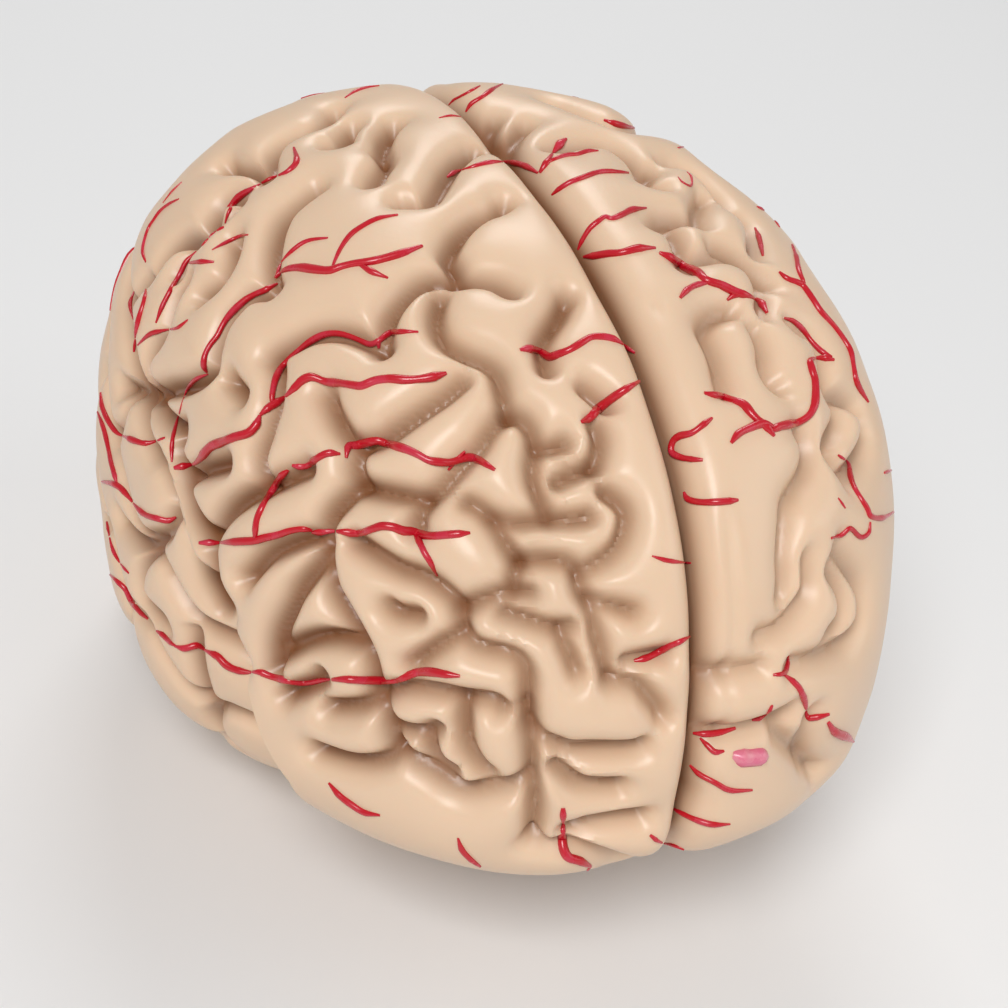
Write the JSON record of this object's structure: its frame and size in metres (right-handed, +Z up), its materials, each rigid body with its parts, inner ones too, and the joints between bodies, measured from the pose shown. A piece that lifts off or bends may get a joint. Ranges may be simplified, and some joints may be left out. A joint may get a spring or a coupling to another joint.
{
  "type": "brain anatomy model",
  "caption": "Take-apart life-size brain model: two halves with carved folds and painted arteries, temporal parts, cerebellum and stem held by pins.",
  "frame": {"origin": "bottom centre of the standing model, in the plane between the two halves", "axes": "+X towards the left half, -Y towards the front, +Z up"},
  "size_m": [0.131, 0.1666, 0.1175],
  "materials": {
    "cast_lobe": "satin soft vinyl",
    "cast_stem": "satin soft vinyl",
    "artery_paint": "glossy hand paint",
    "pin_steel": "turned"
  },
  "bodies": {
    "right_upper": {"right_frontoparietal_lobe": "cast_lobe", "midline_pin_front": "pin_steel", "midline_pin_crown": "pin_steel", "midline_pin_rear": "pin_steel", "right_temporal_pin_front": "pin_steel", "right_temporal_pin_rear": "pin_steel"},
    "left_upper": {"left_frontoparietal_lobe": "cast_lobe", "left_temporal_pin_front": "pin_steel", "left_temporal_pin_rear": "pin_steel"},
    "right_lower": {"right_temporo_occipital_lobe": "cast_lobe"},
    "right_cerebellum": {"right_cerebellum_half": "cast_lobe", "right_cerebellum_pin_inner": "pin_steel", "right_cerebellum_pin_outer": "pin_steel"},
    "right_stem": {"right_brainstem_half": "cast_stem", "right_brainstem_pin": "pin_steel"},
    "left_lower": {"left_temporo_occipital_lobe": "cast_lobe"},
    "left_cerebellum": {"left_cerebellum_half": "cast_lobe", "left_cerebellum_pin_inner": "pin_steel", "left_cerebellum_pin_outer": "pin_steel"},
    "left_stem": {"left_brainstem_half": "cast_stem", "left_brainstem_pin": "pin_steel"}
  },
  "joints": [
    {"name": "halves_part", "type": "slide", "parent": "right_upper", "child": "left_upper", "axis": [1, 0, 0], "range_m": [0, 0.05]},
    {"name": "right_temporal_part_off", "type": "slide", "parent": "right_upper", "child": "right_lower", "axis": [-1, 0, 0], "range_m": [0, 0.035]},
    {"name": "right_cerebellum_off", "type": "slide", "parent": "right_lower", "child": "right_cerebellum", "axis": [0, 0, -1], "range_m": [0, 0.03]},
    {"name": "right_brainstem_off", "type": "slide", "parent": "right_upper", "child": "right_stem", "axis": [0, 0, -1], "range_m": [0, 0.03]},
    {"name": "left_temporal_part_off", "type": "slide", "parent": "left_upper", "child": "left_lower", "axis": [1, 0, 0], "range_m": [0, 0.035]},
    {"name": "left_cerebellum_off", "type": "slide", "parent": "left_lower", "child": "left_cerebellum", "axis": [0, 0, -1], "range_m": [0, 0.03]},
    {"name": "left_brainstem_off", "type": "slide", "parent": "left_upper", "child": "left_stem", "axis": [0, 0, -1], "range_m": [0, 0.03]}
  ]
}
